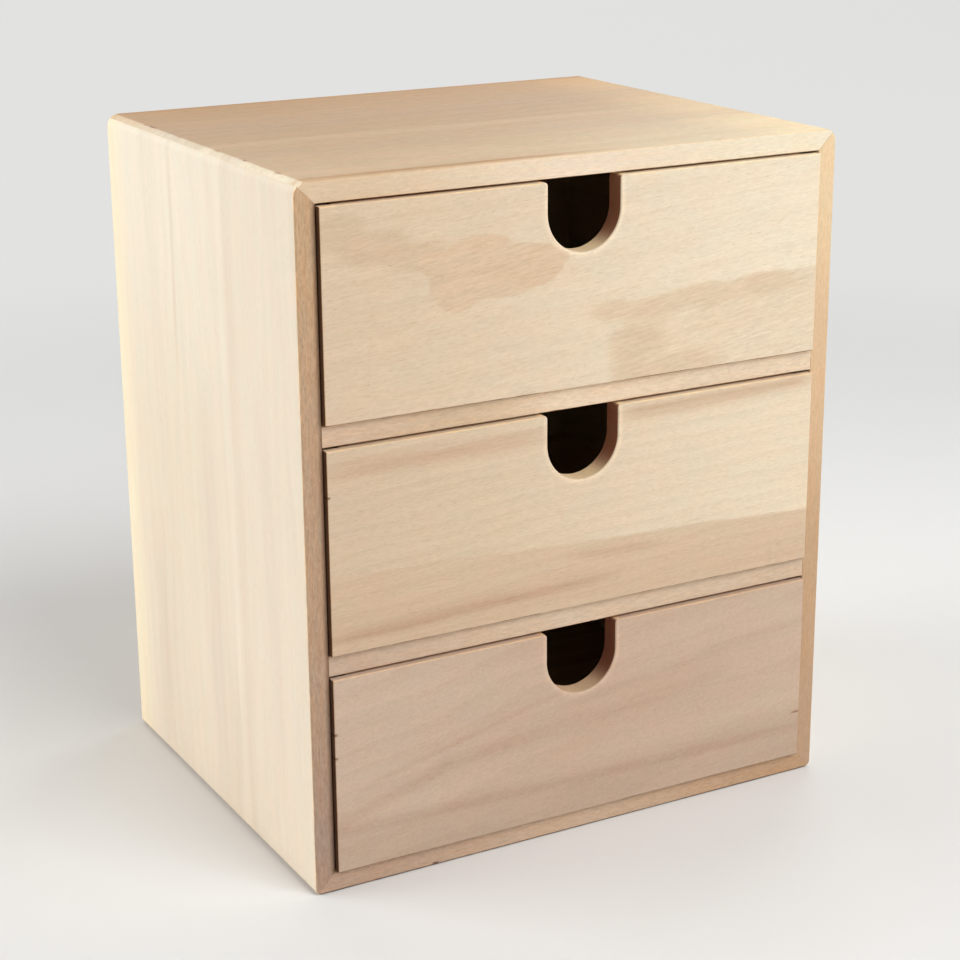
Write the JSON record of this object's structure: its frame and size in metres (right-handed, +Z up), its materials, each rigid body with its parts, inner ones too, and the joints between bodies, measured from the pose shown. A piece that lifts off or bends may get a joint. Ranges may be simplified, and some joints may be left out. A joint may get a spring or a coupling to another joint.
{
  "type": "desktop mini drawers",
  "caption": "Small unfinished wooden cabinet with mitred corners and stacked inset drawers, each pulled out by a U-shaped finger notch in its front; holds craft supplies.",
  "frame": {"origin": "the middle of the cabinet's underside, under the four outer boards", "axes": "+Z up; the drawer fronts face -Y and each drawer pulls out along -Y; +X to the right as seen from the front"},
  "size_m": [0.2, 0.1618, 0.235],
  "materials": {
    "cabinet_wood": "raw sanded light hardwood, no varnish",
    "drawer_wood": "raw sanded light hardwood, no varnish",
    "plywood": "raw three-ply sheet",
    "pin_steel": "bright drawn wire"
  },
  "bodies": {
    "cabinet": {"left_side": "cabinet_wood", "right_side": "cabinet_wood", "top_board": "cabinet_wood", "bottom_board": "cabinet_wood", "upper_divider": "cabinet_wood", "lower_divider": "cabinet_wood", "back_panel": "plywood", "back_pins": "pin_steel"},
    "top_drawer": {"top_drawer_front": "drawer_wood", "top_drawer_left_side": "drawer_wood", "top_drawer_right_side": "drawer_wood", "top_drawer_back": "drawer_wood", "top_drawer_floor": "plywood", "top_drawer_pins": "pin_steel"},
    "middle_drawer": {"middle_drawer_front": "drawer_wood", "middle_drawer_left_side": "drawer_wood", "middle_drawer_right_side": "drawer_wood", "middle_drawer_back": "drawer_wood", "middle_drawer_floor": "plywood", "middle_drawer_pins": "pin_steel"},
    "bottom_drawer": {"bottom_drawer_front": "drawer_wood", "bottom_drawer_left_side": "drawer_wood", "bottom_drawer_right_side": "drawer_wood", "bottom_drawer_back": "drawer_wood", "bottom_drawer_floor": "plywood", "bottom_drawer_pins": "pin_steel"}
  },
  "joints": [
    {"name": "top_drawer_slide", "type": "slide", "parent": "cabinet", "child": "top_drawer", "axis": [0, -1, 0], "range_m": [0, 0.12]},
    {"name": "middle_drawer_slide", "type": "slide", "parent": "cabinet", "child": "middle_drawer", "axis": [0, -1, 0], "range_m": [0, 0.12]},
    {"name": "bottom_drawer_slide", "type": "slide", "parent": "cabinet", "child": "bottom_drawer", "axis": [0, -1, 0], "range_m": [0, 0.12]}
  ]
}
